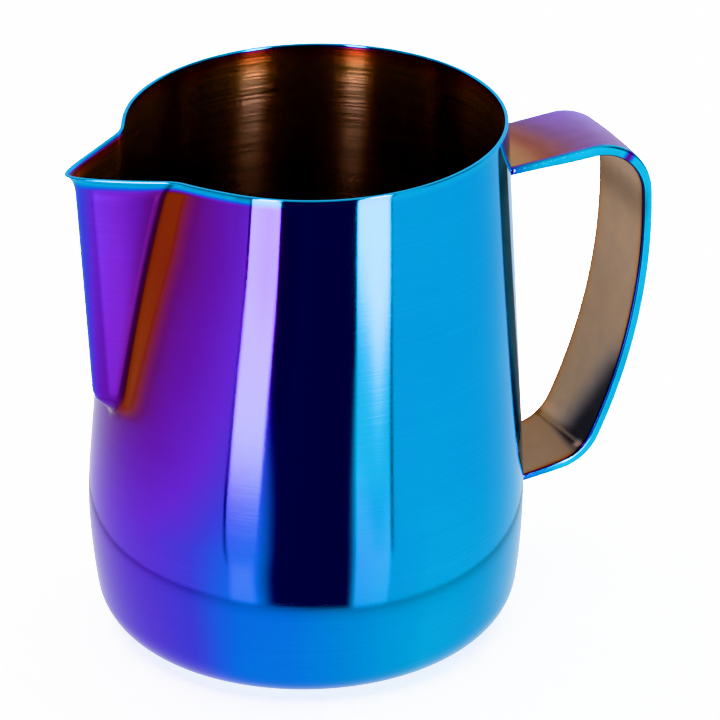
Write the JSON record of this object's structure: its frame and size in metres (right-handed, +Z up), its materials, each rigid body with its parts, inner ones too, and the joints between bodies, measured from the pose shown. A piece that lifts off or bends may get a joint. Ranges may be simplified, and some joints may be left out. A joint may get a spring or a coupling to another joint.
{
  "type": "milk frothing pitcher",
  "caption": "Stainless steel milk frothing pitcher with a flared round belly, a long pressed V spout and a bent strip handle welded to the wall, in a mirror-polished rainbow finish",
  "frame": {"origin": "centre of the flat base, on the surface that the pitcher stands on and on the axis of the round belly", "axes": "+Z up; the spout points to -X and the handle to +X; the pitcher is symmetric about the XZ plane"},
  "size_m": [0.1248, 0.089, 0.1094],
  "materials": {
    "body_steel": "mirror-polished stainless steel with a rainbow titanium coat, satin inside",
    "handle_steel": "satin stainless steel with a rainbow titanium coat and polished edges",
    "weld_steel": "dressed weld under the same coat"
  },
  "bodies": {
    "root": {"pitcher_body": "body_steel", "handle": "handle_steel", "upper_weld": "weld_steel", "lower_weld": "weld_steel"}
  },
  "joints": []
}
